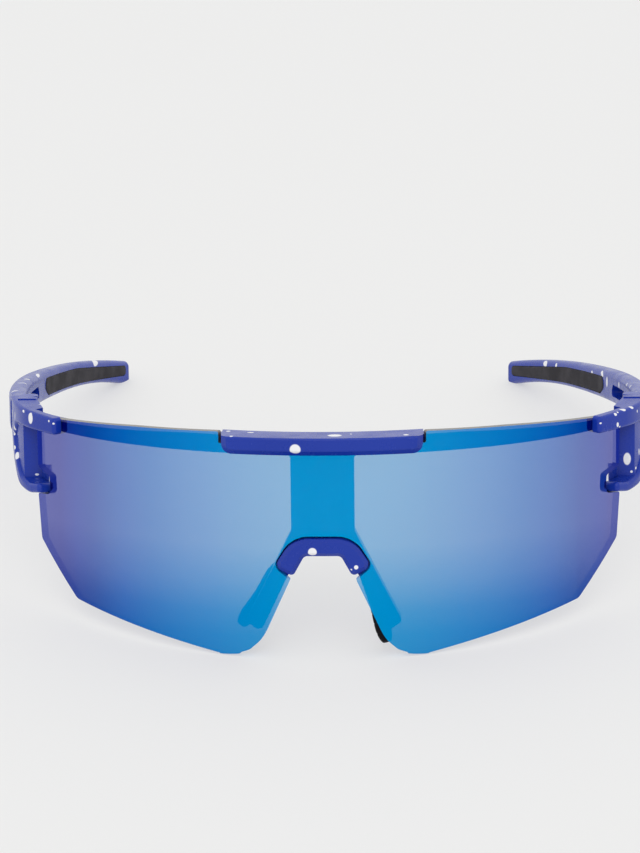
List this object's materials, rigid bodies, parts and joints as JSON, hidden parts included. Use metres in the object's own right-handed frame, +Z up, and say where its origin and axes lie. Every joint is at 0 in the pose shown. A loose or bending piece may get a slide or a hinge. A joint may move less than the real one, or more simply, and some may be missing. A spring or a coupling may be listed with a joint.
{
  "type": "sport sunglasses",
  "caption": "Wraparound shield sunglasses: cylindrical mirrored lens in a half-rim front frame, folding curved temples with rubber grips, and soft nose pads on bendable wires.",
  "frame": {"origin": "centre of the resting footprint, on the surface the glasses stand on", "axes": "+X to the right seen from in front of the lens, +Y from the lens back along the temples, +Z up; the glasses rest on the lens lobes and the temple tips"},
  "size_m": [0.151, 0.173, 0.0498],
  "materials": {
    "lens": "mirror-coated, glossy",
    "front_frame": "glossy with fine paint splatter",
    "temple": "glossy with fine paint splatter",
    "temple_pad": "matt",
    "nose_pad": "matt",
    "pad_wire": "drawn",
    "hinge_screw": "satin",
    "hinge_insert": "machined"
  },
  "bodies": {
    "front": {"lens": "lens", "front_frame": "front_frame", "left_nose_pad": "nose_pad", "right_nose_pad": "nose_pad", "left_nose_pad_wire": "pad_wire", "right_nose_pad_wire": "pad_wire", "left_hinge_screw": "hinge_screw", "right_hinge_screw": "hinge_screw", "left_hinge_insert": "hinge_insert", "right_hinge_insert": "hinge_insert"},
    "left_arm": {"left_temple": "temple", "left_temple_pad": "temple_pad"},
    "right_arm": {"right_temple": "temple", "right_temple_pad": "temple_pad"}
  },
  "joints": [
    {"name": "left_temple_hinge", "type": "hinge", "parent": "front", "child": "left_arm", "pos_m": [-0.06763, -0.03413, 0.03683], "axis": [0, -0.1805, -0.9836], "range_deg": [0, 91]},
    {"name": "right_temple_hinge", "type": "hinge", "parent": "front", "child": "right_arm", "pos_m": [0.07097, -0.03413, 0.03683], "axis": [0, 0.1805, 0.9836], "range_deg": [-7.3, 72]}
  ]
}
